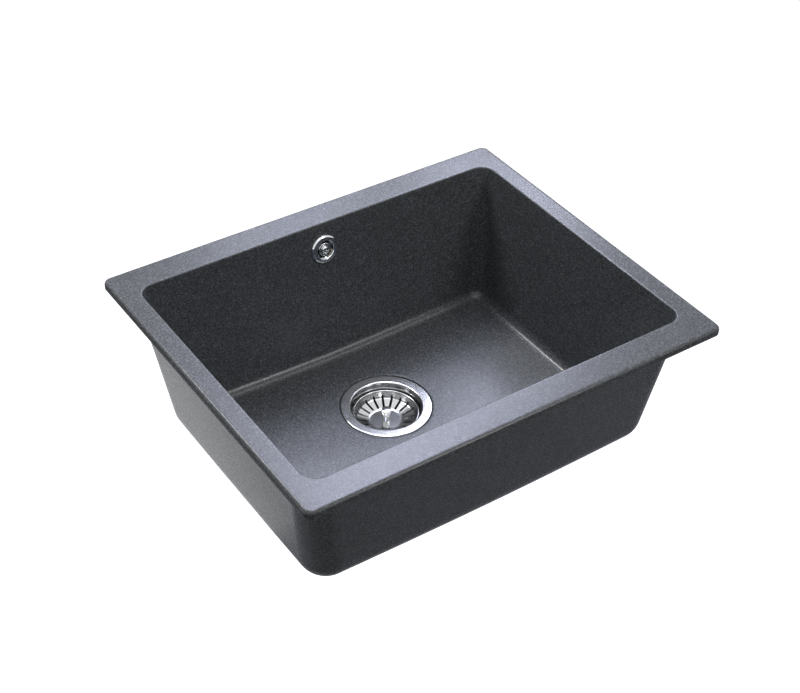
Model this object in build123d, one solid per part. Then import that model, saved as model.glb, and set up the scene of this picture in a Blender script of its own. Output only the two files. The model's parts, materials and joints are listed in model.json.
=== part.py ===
from build123d import *
import math
import os

# Kitchen sink with one bowl, moulded in quartz composite, with its basket waste and overflow.
# Millimetres. Z is up, X runs along the long side, Y runs to the back wall.
# Z = 0 is the underside of the rim, where the rim lies on the worktop.

# Rim and opening
RIM_LENGTH = 550.0
RIM_WIDTH = 455.0
RIM_THICKNESS = 9.5
RIM_CORNER_RADIUS = 10.0
RIM_TOP_ROUND = 2.5
RIM_BOTTOM_ROUND = 0.8
RIM_ROOT_FILLET = 4.0
SIDE_BORDER = 26.0
END_BORDER = 38.8
OPENING_EDGE_ROUND = 2.0

# Bowl walls and floor; a draft is the slope of a wall, a pitch the slope of the floor
SIDE_DRAFT = 0.138
FRONT_DRAFT = 0.128
BACK_DRAFT = 0.182
WALL = 10.0
FLOOR_THICKNESS = 11.0
BOWL_DEPTH = 185.0
FLOOR_PITCH = 0.042
INNER_CORNER_RADIUS = 18.0
OUTER_CORNER_RADIUS = 34.0
FLOOR_FILLET = 14.0
OUTER_BOTTOM_ROUND = 33.0

# Brass inserts in the rim underside; insets run from the rim edge, shares are parts of a side
INSERT_RADIUS = 4.5
INSERT_BORE_RADIUS = 2.5
INSERT_LENGTH = 7.0
INSERT_CAP = 1.0
LONG_SIDE_INSET = 16.5
SHORT_SIDE_INSET = 9.5
LONG_SIDE_SHARE = 3 / 11
SHORT_SIDE_SHARE = 22 / 91

# Drain in the bowl floor; levels of the waste are counted down from the floor beside the flange
DRAIN_Y = 40.0
DRAIN_HOLE_RADIUS = 45.5
RECESS_RADIUS = 58.2
RECESS_DEPTH = 3.0
BOSS_RADIUS = 61.0
BOSS_DEPTH = 12.5

# Strainer cup, pressed from sheet
CUP_SHEET = 1.2
FLANGE_RADIUS = 57.0
FLANGE_TOP = 0.1
FLANGE_UNDERSIDE = 2.0
FLANGE_EDGE_ROUND = 0.9
THROAT_RADIUS = 43.7
THROAT_LEVEL = 0.6
THROAT_ROUND = 2.2
LEDGE_LEVEL = 13.6
LEDGE_OUTER_RADIUS = 42.6
LEDGE_INNER_RADIUS = 39.6
LEDGE_FALL = 0.8
LEDGE_ROUND = 1.2
PRESS_ROUND = 1.0
CUP_FOOT_RADIUS = 38.8
CUP_DEPTH = 40.0
CUP_FOOT_ROUND = 4.0
SEAT_INNER_RADIUS = 23.6
HUB_RADIUS = 11.0
HUB_DEPTH = 46.0
WINDOW_COUNT = 5
WINDOW_RADII = (12.6, 22.4)
SPOKE_WIDTH = 5.0

# Gaskets of the waste
GASKET_THICKNESS = 3.0
FLANGE_GASKET_RADII = (47.6, 57.6)
UNDERSIDE_GASKET_RADII = (46.0, 56.5)

# Waste body
BODY_FLANGE_RADIUS = 57.0
BODY_FLANGE = 5.0
BODY_EDGE_ROUND = 1.0
BODY_ROOT_ROUND = 1.5
BODY_FOOT_ROUND = 3.0
BODY_BORE_RADIUS = 46.0
BODY_WALL = 3.0
BODY_FOOT = 50.0
FUNNEL_DROP = 16.0
FUNNEL_SINK = 1.0
OUTLET_BORE_RADIUS = 20.0
OUTLET_JOINT = 72.5
OUTLET_COLLAR_RADIUS = 26.5
OUTLET_COLLAR_CHAMFER = 2.0
OUTLET_RADIUS = 23.9
OUTLET_THREAD_LENGTH = 16.0
OUTLET_END = 102.0
RIB_COUNT = 3
RIB_THICKNESS = 3.0
HUB_BOSS_RADIUS = 10.5
HUB_BOSS_LEVELS = (56.0, 71.0)

# Clamp screw and nut
CLAMP_RADIUS = 4.0
CLAMP_HEAD_RADIUS = 7.5
CLAMP_HEAD_HEIGHT = 5.0
CLAMP_END = 72.0
CLAMP_SOCKET = 4.0
CLAMP_PLAY = 0.3
CLAMP_SLOT_WIDTH = 1.6
CLAMP_SLOT_DEPTH = 1.5
CLAMP_NUT_WIDTH = 13.0
CLAMP_NUT_LEVELS = (64.0, 70.5)

# Basket
BASKET_RADIUS = 41.0
BASKET_ROLL = 1.1
BASKET_SHEET = 1.0
BASKET_BEND = 1.5
BASKET_RIM_LEVEL = 11.0
BASKET_BAND_TOP_RADIUS = 38.9
BASKET_BAND_RADIUS = 36.4
BASKET_BAND_LEVEL = 19.8
BASKET_BAND_BEND = 3.0
BASKET_FLOOR_LEVEL = 24.5
BASKET_FLOOR_RADIUS = 21.0
SLOT_COUNT = 20
SLOT_WIDTH = 3.0
SLOT_START_RADIUS = 22.4
SLOT_TOP_LEVEL = 15.6
STEM_RADIUS = 3.0
STEM_COLLAR_RADIUS = 5.4
STEM_COLLAR_HEIGHT = 1.9
STEM_PLAY = 0.4
KNOB_RADIUS = 6.2
KNOB_TOP_LEVEL = 6.4
KNOB_CAP = 3.4
KNOB_EDGE = 2.2
KNOB_EDGE_ROUND = 0.8
KNOB_WAIST_RADIUS = 4.1
KNOB_WAIST_LEVEL = 14.5
KNOB_FOOT_RADIUS = 5.0
STOPPER_TOP_RADIUS = 13.0
STOPPER_RADIUS = 27.2
STOPPER_CORE_DEPTH = 7.5
STOPPER_NECK_DROP = 4.8
STOPPER_LIP = (2.0, 3.2)
STOPPER_ROUND = 1.5
SEAT_GAP = 0.3
WASHER_RADIUS = 9.0
WASHER_THICKNESS = 1.2
STEM_NUT_WIDTH = 10.0
STEM_NUT_HEIGHT = 4.2

# Overflow; heights of its parts are counted out of the back wall into the bowl
OVERFLOW_DROP = 34.5
OVERFLOW_HOLE_RADIUS = 13.0
ROSETTE_RADIUS = 18.6
ROSETTE_BORE_RADIUS = 11.6
ROSETTE_HEIGHT = 3.6
ROSETTE_DISC_RADIUS = 8.2
ROSETTE_DISC_TOP = 1.2
ROSETTE_OUTER_ROUND = 2.6
ROSETTE_INNER_ROUND = 1.6
ROSETTE_DISC_BEAD = (2.4, 0.6)
ROSETTE_WEB = (4.4, 4.0, 1.4)
COLLAR_RADII = (11.4, 12.6)
COLLAR_LENGTH = 6.0
OVERFLOW_SCREW_RADIUS = 2.5
OVERFLOW_SCREW_HEAD_RADIUS = 4.4
OVERFLOW_SCREW_HEAD_HEIGHT = 2.8
OVERFLOW_SCREW_END = 24.0
OVERFLOW_SCREW_ROUND = 2.0
CROSS_SLOT = (5.0, 1.1, 2.4)
OVERFLOW_GASKET_RADII = (14.5, 19.5)
OVERFLOW_GASKET = 2.0
ELBOW_RADIUS = 20.0
ELBOW_DEPTH = 14.0
ELBOW_SHELL = 2.4
ELBOW_WALL = 3.0
ELBOW_CAP = 4.0
ELBOW_SPIGOT_TOP = -27.0
ELBOW_SPIGOT_END = -66.0
ELBOW_BOSS_RADIUS = 6.5
ELBOW_INSERT_RADIUS = 4.2
ELBOW_INSERT_LEVELS = (-24.5, -15.0)

# Overflow pipe and its two compression nuts
PIPE_SETBACK = 16.8
PIPE_RADIUS = 10.0
PIPE_BORE_RADIUS = 8.0
PIPE_BEND = 40.0
PIPE_SOCKET = 15.0
SPIGOT_RADIUS = 13.0
INLET_DROP = 35.0
INLET_END = 72.0
SEAL_RADIUS = 12.8
SEAL_HEIGHT = 4.2
SEAL_SHOULDER = 1.5
SEAL_LIP = 1.6
NUT_RADIUS = 15.4
NUT_SKIRT = 11.0
NUT_TOP = 8.0
NUT_ROUND = 2.0
NUT_PLAY = 0.2
NUT_RIDGES = 10
NUT_RIDGE = (3.2, 2.6, 16.0)

# Places and levels that follow from the sizes above
HALF_X = RIM_LENGTH / 2 - SIDE_BORDER
HALF_Y = RIM_WIDTH / 2 - END_BORDER
FLOOR_Z = RIM_THICKNESS - BOWL_DEPTH
DRAIN = Location((0, DRAIN_Y, FLOOR_Z))
BODY_TOP = -BOSS_DEPTH - GASKET_THICKNESS
INLET = DRAIN * Plane(origin=(0, 0, -INLET_DROP), x_dir=(1, 0, 0), z_dir=(0, 1, 0)).location
OVERFLOW = Plane(
    origin=(0, HALF_Y - BACK_DRAFT * OVERFLOW_DROP, RIM_THICKNESS - OVERFLOW_DROP),
    x_dir=(1, 0, 0),
    z_dir=(0, -1, BACK_DRAFT),
).location
WALL_BACK = -WALL / math.hypot(1, BACK_DRAFT)
DISH_FRONT = WALL_BACK - OVERFLOW_GASKET
DISH_BACK = DISH_FRONT - ELBOW_DEPTH
PIPE_Y = HALF_Y + PIPE_SETBACK
PIPE_AXIS = Location((0, PIPE_Y, 0))
LONG_SIDE_INSERT = (RIM_LENGTH * LONG_SIDE_SHARE, RIM_WIDTH / 2 - LONG_SIDE_INSET)
SHORT_SIDE_INSERT = (RIM_LENGTH / 2 - SHORT_SIDE_INSET, RIM_WIDTH * SHORT_SIDE_SHARE)
HEAD_TOP = -HUB_DEPTH + CLAMP_HEAD_HEIGHT
REACH = FLANGE_RADIUS + RECESS_DEPTH


def turned(outline, place=Location((0, 0, 0))):
    """A solid of revolution about local Z from (radius, height) corners; a third value rounds that corner."""
    face = make_face(Polyline(*[(corner[0], 0, corner[1]) for corner in outline], close=True)).face()
    for corner in outline:
        if len(corner) == 3:
            spot = Vector(corner[0], 0, corner[1])
            vertex = face.vertices().sort_by_distance(spot)[0]
            face = face.fillet_2d(corner[2], [vertex])
    return place * revolve(face, axis=Axis.Z)


def far_side(near, sheet):
    """The outer corners of a pressed sheet, from its inner (radius, height) corners from rim to middle."""
    normals = []
    for (r0, z0), (r1, z1) in zip(near, near[1:]):
        span = math.hypot(r1 - r0, z1 - z0)
        normals.append(((z0 - z1) / span, (r1 - r0) / span))
    normals = [normals[0], *normals, normals[-1]]
    far = []
    for (r, z), (a, b), (c, d) in zip(near, normals, normals[1:]):
        push = sheet / (1 + a * c + b * d)
        far.append((r + push * (a + c), z + push * (b + d)))
    return far


def rod(radius, low, high, place=Location((0, 0, 0))):
    """A round bar along local Z between two heights."""
    bar = Cylinder(radius, high - low, align=(Align.CENTER, Align.CENTER, Align.MIN))
    return place * (Pos(0, 0, low) * bar)


def tube(inner, outer, low, high, place=Location((0, 0, 0))):
    """A ring along local Z between two heights."""
    return turned([(inner, low), (outer, low), (outer, high), (inner, high)], place)


def hexagon(width, low, high, place):
    """A six-sided bar along local Z, sized across its flats."""
    return place * (Pos(0, 0, low) * extrude(RegularPolygon(width / 2, 6, major_radius=False), high - low))


def drafted(outset, high, low, corner):
    """The opening, grown by outset at the rim top and carried down with drafted walls and rounded corners."""
    rings = []
    for z in (high, low):
        drop = RIM_THICKNESS - z
        x = HALF_X + outset - SIDE_DRAFT * drop
        front = -HALF_Y - outset + FRONT_DRAFT * drop
        back = HALF_Y + outset - BACK_DRAFT * drop
        rings.append([(-x, front, z), (x, front, z), (x, back, z), (-x, back, z)])
    top, bottom = rings
    sides = [[top[i], top[i - 3], bottom[i - 3], bottom[i]] for i in range(4)]
    faces = [make_face(Polyline(*points, close=True)).face() for points in rings + sides]
    block = Solid(Shell(faces))
    upright = [e for e in block.edges() if abs((e @ 1).Z - (e @ 0).Z) > RIM_THICKNESS]
    return block.fillet(corner, upright)


def on_floor(block, level, radius):
    """The block ended by a shallow cone that falls to the drain, with the edge round the floor rounded."""
    far = RIM_LENGTH
    rise = FLOOR_PITCH * (far - RECESS_RADIUS)
    cone = [(0, -far), (far, -far), (far, level + rise), (RECESS_RADIUS, level), (0, level)]
    block = (block - turned(cone, DRAIN)).solids()[0]
    floor = [f for f in block.faces() if f.geom_type == GeomType.CONE][0]
    edge = [e for e in floor.edges() if e.geom_type != GeomType.CIRCLE]
    return block.fillet(radius, edge)


def level_edges(shape, z, half_x, half_y):
    """The edges that lie at one height within a rectangle."""
    found = []
    for e in shape.edges():
        box = e.bounding_box()
        flat = abs(box.min.Z - z) < 1e-4 and abs(box.max.Z - z) < 1e-4
        if flat and abs(e.center().X) < half_x and abs(e.center().Y) < half_y:
            found.append(e)
    return found


# Bowl: rim, drafted body and drain boss, hollowed
cavity = on_floor(drafted(0, RIM_THICKNESS + 6, FLOOR_Z - 20, INNER_CORNER_RADIUS), 0, FLOOR_FILLET)
body = drafted(WALL, RIM_THICKNESS / 2, FLOOR_Z - 40, OUTER_CORNER_RADIUS)
body = on_floor(body, -FLOOR_THICKNESS, OUTER_BOTTOM_ROUND)
rim = Pos(0, 0, RIM_THICKNESS / 2) * Box(RIM_LENGTH, RIM_WIDTH, RIM_THICKNESS)
rim = fillet(rim.edges().filter_by(Axis.Z), RIM_CORNER_RADIUS)
rim = fillet(rim.faces().sort_by(Axis.Z)[-1].edges(), RIM_TOP_ROUND)
rim = fillet(rim.faces().sort_by(Axis.Z)[0].edges(), RIM_BOTTOM_ROUND)
bowl = rim + body
bowl = fillet(level_edges(bowl, 0, HALF_X + WALL + 1, HALF_Y + WALL + 1), RIM_ROOT_FILLET)
bowl += rod(BOSS_RADIUS, -BOSS_DEPTH, -FLOOR_THICKNESS / 2, DRAIN)
bowl -= cavity
bowl = fillet(level_edges(bowl, RIM_THICKNESS, HALF_X + 1, HALF_Y + 1), OPENING_EDGE_ROUND)
bowl -= rod(DRAIN_HOLE_RADIUS, -REACH, REACH, DRAIN)
bowl -= rod(RECESS_RADIUS, -RECESS_DEPTH, REACH, DRAIN)
bowl -= rod(OVERFLOW_HOLE_RADIUS, -REACH, REACH, OVERFLOW)

# Rim inserts: bushes set flush in the rim underside, closed at the top
inserts = []
for x, y in (LONG_SIDE_INSERT, SHORT_SIDE_INSERT):
    for place in (Location((x, y, 0)), Location((-x, y, 0)), Location((x, -y, 0)), Location((-x, -y, 0))):
        bush = rod(INSERT_RADIUS, 0, INSERT_LENGTH, place)
        bowl -= bush
        inserts.append(bush - rod(INSERT_BORE_RADIUS, 0, INSERT_LENGTH - INSERT_CAP, place))
rim_inserts = Compound(children=inserts)

# Strainer cup: flange, rounded throat, ledge, wall, flat seat and dished hub, in one pressed sheet
strainer_cup = turned(
    [
        (FLANGE_RADIUS, -FLANGE_UNDERSIDE),
        (FLANGE_RADIUS, -FLANGE_TOP, FLANGE_EDGE_ROUND),
        (THROAT_RADIUS, -THROAT_LEVEL, THROAT_ROUND),
        (LEDGE_OUTER_RADIUS, -LEDGE_LEVEL + LEDGE_FALL / 2, LEDGE_ROUND),
        (LEDGE_INNER_RADIUS, -LEDGE_LEVEL - LEDGE_FALL / 2, PRESS_ROUND),
        (CUP_FOOT_RADIUS, -CUP_DEPTH, CUP_FOOT_ROUND),
        (SEAT_INNER_RADIUS, -CUP_DEPTH, PRESS_ROUND),
        (HUB_RADIUS, -HUB_DEPTH, PRESS_ROUND),
        (CLAMP_RADIUS, -HUB_DEPTH),
        (CLAMP_RADIUS, -HUB_DEPTH - CUP_SHEET),
        (HUB_RADIUS + CUP_SHEET / 3, -HUB_DEPTH - CUP_SHEET, PRESS_ROUND),
        (SEAT_INNER_RADIUS + CUP_SHEET / 3, -CUP_DEPTH - CUP_SHEET, PRESS_ROUND),
        (CUP_FOOT_RADIUS + CUP_SHEET, -CUP_DEPTH - CUP_SHEET, CUP_FOOT_ROUND + CUP_SHEET),
        (LEDGE_INNER_RADIUS + CUP_SHEET, -LEDGE_LEVEL - LEDGE_FALL / 2 - CUP_SHEET, LEDGE_ROUND / 2),
        (LEDGE_OUTER_RADIUS + CUP_SHEET, -LEDGE_LEVEL + LEDGE_FALL / 2 - CUP_SHEET, LEDGE_ROUND),
        (THROAT_RADIUS + CUP_SHEET, -RECESS_DEPTH),
        (THROAT_RADIUS + 1.5 * CUP_SHEET, -FLANGE_UNDERSIDE),
    ],
    DRAIN,
)
windows = tube(*WINDOW_RADII, -REACH, -CUP_DEPTH + 5, DRAIN)
for k in range(WINDOW_COUNT):
    spoke = Pos(WINDOW_RADII[1] / 2, 0, -HUB_DEPTH) * Box(WINDOW_RADII[1] * 1.2, SPOKE_WIDTH, REACH)
    windows -= DRAIN * (Rot(0, 0, 90 + 360 / WINDOW_COUNT * k) * spoke)
strainer_cup -= windows

flange_gasket = tube(*FLANGE_GASKET_RADII, -RECESS_DEPTH, -FLANGE_UNDERSIDE, DRAIN)
underside_gasket = tube(*UNDERSIDE_GASKET_RADII, BODY_TOP, -BOSS_DEPTH, DRAIN)

# Waste body: flange, round chamber, funnel, ribbed hub and side inlet
body_outer_radius = BODY_BORE_RADIUS + BODY_WALL
round_limit = (BODY_FLANGE_RADIUS - body_outer_radius) / 4
edge_round = min(BODY_EDGE_ROUND, round_limit)
root_round = min(BODY_ROOT_ROUND, round_limit)
body_outline = [
    (0, BODY_TOP),
    (BODY_FLANGE_RADIUS, BODY_TOP, edge_round),
    (BODY_FLANGE_RADIUS, BODY_TOP - BODY_FLANGE, edge_round),
    (body_outer_radius, BODY_TOP - BODY_FLANGE, root_round),
    (body_outer_radius, -BODY_FOOT - FUNNEL_SINK, BODY_FOOT_ROUND),
    (OUTLET_COLLAR_RADIUS, -BODY_FOOT - FUNNEL_DROP - FUNNEL_SINK, BODY_FOOT_ROUND),
    (OUTLET_COLLAR_RADIUS, -OUTLET_JOINT),
    (0, -OUTLET_JOINT),
]
body_hollow = [
    (0, 0),
    (BODY_BORE_RADIUS, 0),
    (BODY_BORE_RADIUS, -BODY_FOOT, BODY_FOOT_ROUND),
    (OUTLET_BORE_RADIUS, -BODY_FOOT - FUNNEL_DROP, BODY_FOOT_ROUND),
    (OUTLET_BORE_RADIUS, -OUTLET_END),
    (0, -OUTLET_END),
]
waste_body = turned(body_outline, DRAIN) + rod(SPIGOT_RADIUS, 0, INLET_END, INLET)
waste_body -= turned(body_hollow, DRAIN)
waste_body -= rod(PIPE_BORE_RADIUS, 0, INLET_END, INLET)
waste_body -= rod(PIPE_RADIUS, INLET_END - PIPE_SOCKET, INLET_END, INLET)
waste_body += rod(HUB_BOSS_RADIUS, -HUB_BOSS_LEVELS[1], -HUB_BOSS_LEVELS[0], DRAIN)
rib_height = HUB_BOSS_LEVELS[1] - HUB_BOSS_LEVELS[0] - RIB_THICKNESS
for k in range(RIB_COUNT):
    rib = Pos(REACH / 2, 0, -HUB_BOSS_LEVELS[0] - rib_height / 2) * Box(REACH, RIB_THICKNESS, rib_height)
    rib = DRAIN * (Rot(0, 0, 30 + 360 / RIB_COUNT * k) * rib)
    waste_body += rib & turned(body_outline, DRAIN)
waste_body -= rod(CLAMP_RADIUS + CLAMP_PLAY, -OUTLET_END, -HUB_DEPTH, DRAIN)
waste_body -= hexagon(CLAMP_NUT_WIDTH, -HUB_BOSS_LEVELS[1], -CLAMP_NUT_LEVELS[0], DRAIN)

# Outlet tail: collar and threaded end, welded face to face under the waste body
thread_top = -OUTLET_END + OUTLET_THREAD_LENGTH
outlet_tail = turned(
    [
        (OUTLET_BORE_RADIUS, -OUTLET_JOINT),
        (OUTLET_COLLAR_RADIUS, -OUTLET_JOINT),
        (OUTLET_COLLAR_RADIUS, thread_top + OUTLET_COLLAR_CHAMFER),
        (OUTLET_RADIUS, thread_top),
        (OUTLET_RADIUS, -OUTLET_END),
        (OUTLET_BORE_RADIUS, -OUTLET_END),
    ],
    DRAIN,
)

# Clamp nut, and clamp screw with a slotted round head whose socket takes the tip of the basket stem
clamp_nut = hexagon(CLAMP_NUT_WIDTH, -CLAMP_NUT_LEVELS[1], -CLAMP_NUT_LEVELS[0], DRAIN)
clamp_nut -= rod(CLAMP_RADIUS, -OUTLET_END, 0, DRAIN)
clamp_screw = turned(
    [
        (0, -CLAMP_END),
        (CLAMP_RADIUS, -CLAMP_END),
        (CLAMP_RADIUS, -HUB_DEPTH),
        (CLAMP_HEAD_RADIUS, -HUB_DEPTH),
        (CLAMP_HEAD_RADIUS, HEAD_TOP, PRESS_ROUND),
        (STEM_RADIUS + STEM_PLAY, HEAD_TOP),
        (STEM_RADIUS + STEM_PLAY, HEAD_TOP - CLAMP_SOCKET),
        (0, HEAD_TOP - CLAMP_SOCKET),
    ],
    DRAIN,
)
driver_slot = Box(3 * CLAMP_HEAD_RADIUS, CLAMP_SLOT_WIDTH, 2 * CLAMP_SLOT_DEPTH)
clamp_screw -= DRAIN * (Pos(0, 0, HEAD_TOP) * driver_slot)

# Basket: steep band under a rolled rim, shallow cone and flat floor, with slots round the bend
basket_inside = [
    (BASKET_BAND_TOP_RADIUS, -BASKET_RIM_LEVEL),
    (BASKET_BAND_RADIUS, -BASKET_BAND_LEVEL),
    (BASKET_FLOOR_RADIUS, -BASKET_FLOOR_LEVEL),
    (STEM_RADIUS, -BASKET_FLOOR_LEVEL),
]
basket_outside = far_side(basket_inside, BASKET_SHEET)
basket_shell = turned(
    [
        basket_inside[0],
        (*basket_inside[1], BASKET_BAND_BEND),
        (*basket_inside[2], BASKET_BEND),
        basket_inside[3],
        basket_outside[3],
        (*basket_outside[2], BASKET_BEND + BASKET_SHEET),
        (*basket_outside[1], BASKET_BAND_BEND + BASKET_SHEET),
        basket_outside[0],
    ],
    DRAIN,
)
basket_shell += DRAIN * (Pos(0, 0, -BASKET_RIM_LEVEL) * Torus(BASKET_RADIUS - BASKET_ROLL, BASKET_ROLL))
for k in range(SLOT_COUNT):
    slot = Box(BASKET_RADIUS - SLOT_START_RADIUS, SLOT_WIDTH, REACH)
    slot = Pos((BASKET_RADIUS + SLOT_START_RADIUS) / 2, 0, -SLOT_TOP_LEVEL - REACH / 2) * slot
    basket_shell -= DRAIN * (Rot(0, 0, 360 / SLOT_COUNT * (k + 0.5)) * slot)

# Basket fittings: stem with a collar, knob, stopper, washer and nut
core_top = -BASKET_FLOOR_LEVEL - BASKET_SHEET
core_foot = core_top - STOPPER_CORE_DEPTH
lip = -CUP_DEPTH + SEAT_GAP
stem_top = -KNOB_TOP_LEVEL - KNOB_CAP
collar_top = -BASKET_FLOOR_LEVEL + STEM_COLLAR_HEIGHT
basket_stem = rod(STEM_RADIUS, HEAD_TOP - CLAMP_SOCKET + STEM_PLAY, stem_top, DRAIN)
basket_stem += rod(STEM_COLLAR_RADIUS, -BASKET_FLOOR_LEVEL, collar_top, DRAIN)
basket_knob = turned(
    [
        (0, stem_top),
        (STEM_RADIUS, stem_top),
        (STEM_RADIUS, collar_top),
        (KNOB_FOOT_RADIUS, collar_top, KNOB_EDGE_ROUND / 2),
        (KNOB_WAIST_RADIUS, -KNOB_WAIST_LEVEL, 2 * KNOB_RADIUS),
        (KNOB_RADIUS, -KNOB_TOP_LEVEL - KNOB_EDGE, KNOB_EDGE_ROUND),
        (KNOB_RADIUS, -KNOB_TOP_LEVEL, KNOB_EDGE_ROUND),
        (0, -KNOB_TOP_LEVEL),
    ],
    DRAIN,
)
basket_stopper = turned(
    [
        (STEM_RADIUS, core_top),
        (STOPPER_TOP_RADIUS, core_top, STOPPER_ROUND),
        (STOPPER_TOP_RADIUS + STOPPER_LIP[0], core_top - STOPPER_NECK_DROP, STOPPER_ROUND),
        (STOPPER_RADIUS, lip + STOPPER_LIP[1], STOPPER_ROUND),
        (STOPPER_RADIUS, lip),
        (STOPPER_RADIUS - STOPPER_LIP[0], lip),
        (STOPPER_TOP_RADIUS + STOPPER_LIP[0] / 2, core_foot, STOPPER_ROUND / 2),
        (STEM_RADIUS, core_foot),
    ],
    DRAIN,
)
basket_washer = tube(STEM_RADIUS, WASHER_RADIUS, core_foot - WASHER_THICKNESS, core_foot, DRAIN)
nut_top = core_foot - WASHER_THICKNESS
basket_nut = hexagon(STEM_NUT_WIDTH, nut_top - STEM_NUT_HEIGHT, nut_top, DRAIN)
basket_nut -= rod(STEM_RADIUS, -REACH, 0, DRAIN)

# Overflow rosette: domed ring, recessed disc on three webs, and a collar in the wall; cross-head screw
overflow_rosette = turned(
    [
        (ROSETTE_BORE_RADIUS, 0),
        (ROSETTE_RADIUS, 0),
        (ROSETTE_RADIUS, ROSETTE_HEIGHT, ROSETTE_OUTER_ROUND),
        (ROSETTE_BORE_RADIUS, ROSETTE_HEIGHT, ROSETTE_INNER_ROUND),
    ],
    OVERFLOW,
)
overflow_rosette += tube(*COLLAR_RADII, -COLLAR_LENGTH, ROSETTE_DISC_TOP / 2, OVERFLOW)
bead_width, bead_height = ROSETTE_DISC_BEAD
overflow_rosette += turned(
    [
        (OVERFLOW_SCREW_RADIUS, -bead_height),
        (ROSETTE_DISC_RADIUS, -bead_height),
        (ROSETTE_DISC_RADIUS, ROSETTE_DISC_TOP + bead_height, bead_width / 3),
        (ROSETTE_DISC_RADIUS - bead_width, ROSETTE_DISC_TOP + bead_height, bead_width / 6),
        (ROSETTE_DISC_RADIUS - bead_width - bead_height, ROSETTE_DISC_TOP),
        (OVERFLOW_SCREW_RADIUS, ROSETTE_DISC_TOP),
    ],
    OVERFLOW,
)
for k in range(3):
    web = Pos((ROSETTE_DISC_RADIUS + ROSETTE_BORE_RADIUS) / 2, 0, bead_height / 2) * Box(*ROSETTE_WEB)
    overflow_rosette += OVERFLOW * (Rot(0, 0, 30 + 120 * k) * web)
screw_top = ROSETTE_DISC_TOP + OVERFLOW_SCREW_HEAD_HEIGHT
overflow_screw = turned(
    [
        (0, -OVERFLOW_SCREW_END),
        (OVERFLOW_SCREW_RADIUS, -OVERFLOW_SCREW_END),
        (OVERFLOW_SCREW_RADIUS, ROSETTE_DISC_TOP),
        (OVERFLOW_SCREW_HEAD_RADIUS, ROSETTE_DISC_TOP),
        (OVERFLOW_SCREW_HEAD_RADIUS, screw_top, OVERFLOW_SCREW_ROUND),
        (0, screw_top),
    ],
    OVERFLOW,
)
for turn in (45, 135):
    cross_slot = Pos(0, 0, screw_top) * Box(*CROSS_SLOT)
    overflow_screw -= OVERFLOW * (Rot(0, 0, turn) * cross_slot)

# Overflow elbow behind the wall: shallow dish with a spigot that points down and a boss for the screw
overflow_gasket = tube(*OVERFLOW_GASKET_RADII, DISH_FRONT, WALL_BACK, OVERFLOW)
overflow_elbow = rod(ELBOW_RADIUS, DISH_BACK, DISH_FRONT, OVERFLOW)
overflow_elbow += rod(SPIGOT_RADIUS, ELBOW_SPIGOT_END, ELBOW_SPIGOT_TOP, PIPE_AXIS)
overflow_elbow -= OVERFLOW * (Pos(0, 0, DISH_FRONT + REACH / 2) * Box(2 * REACH, 2 * REACH, REACH))
overflow_elbow -= rod(ELBOW_RADIUS - ELBOW_WALL, DISH_BACK + ELBOW_SHELL, 0, OVERFLOW)
overflow_elbow -= rod(PIPE_BORE_RADIUS, ELBOW_SPIGOT_END, ELBOW_SPIGOT_TOP - ELBOW_CAP, PIPE_AXIS)
overflow_elbow -= rod(PIPE_RADIUS, ELBOW_SPIGOT_END, ELBOW_SPIGOT_END + PIPE_SOCKET, PIPE_AXIS)
overflow_elbow += rod(ELBOW_BOSS_RADIUS, DISH_BACK, ELBOW_INSERT_LEVELS[1], OVERFLOW)
overflow_elbow -= rod(ELBOW_INSERT_RADIUS, *ELBOW_INSERT_LEVELS, OVERFLOW)
overflow_screw_insert = tube(OVERFLOW_SCREW_RADIUS, ELBOW_INSERT_RADIUS, *ELBOW_INSERT_LEVELS, OVERFLOW)

# Overflow pipe: down behind the back wall, then forward under the bowl to the waste body
pipe_low = FLOOR_Z - INLET_DROP
pipe_top = ELBOW_SPIGOT_END + PIPE_SOCKET
bend_cut = PIPE_BEND * (1 - math.sqrt(0.5))
bend_start = (0, PIPE_Y, pipe_low + PIPE_BEND)
bend_middle = (0, PIPE_Y - bend_cut, pipe_low + bend_cut)
bend_end = (0, PIPE_Y - PIPE_BEND, pipe_low)
down = Line((0, PIPE_Y, pipe_top), bend_start)
bend = ThreePointArc(bend_start, bend_middle, bend_end)
forward = Line(bend_end, (0, DRAIN_Y + INLET_END - PIPE_SOCKET, pipe_low))
ring = Circle(PIPE_RADIUS) - Circle(PIPE_BORE_RADIUS)
section = Plane(origin=(0, PIPE_Y, pipe_top), z_dir=(0, 0, -1)) * ring
overflow_pipe = sweep(section, path=Wire([down.edge(), bend.edge(), forward.edge()]))


def pipe_nut(place):
    """A ridged compression nut, with local Z running off the spigot's end along the pipe."""
    nut = turned(
        [
            (SPIGOT_RADIUS, -NUT_SKIRT),
            (NUT_RADIUS, -NUT_SKIRT),
            (NUT_RADIUS, NUT_TOP, NUT_ROUND),
            (PIPE_RADIUS + NUT_PLAY, NUT_TOP),
            (PIPE_RADIUS + NUT_PLAY, SEAL_HEIGHT),
            (SPIGOT_RADIUS, SEAL_HEIGHT),
        ],
        place,
    )
    for k in range(NUT_RIDGES):
        ridge = Pos(NUT_RADIUS - NUT_PLAY, 0, NUT_RIDGE[2] / 2 - NUT_SKIRT) * Box(*NUT_RIDGE)
        nut += place * (Rot(0, 0, 360 / NUT_RIDGES * k) * ridge)
    return nut


def pipe_seal(place):
    """A cone seal squeezed between the spigot's end, the pipe and the nut."""
    return turned(
        [
            (PIPE_RADIUS, 0),
            (SEAL_RADIUS, 0),
            (SEAL_RADIUS, SEAL_SHOULDER),
            (PIPE_RADIUS + SEAL_LIP, SEAL_HEIGHT),
            (PIPE_RADIUS, SEAL_HEIGHT),
        ],
        place,
    )


upper_end = Plane(origin=(0, PIPE_Y, ELBOW_SPIGOT_END), x_dir=(1, 0, 0), z_dir=(0, 0, -1)).location
lower_end = INLET * Pos(0, 0, INLET_END)

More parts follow.
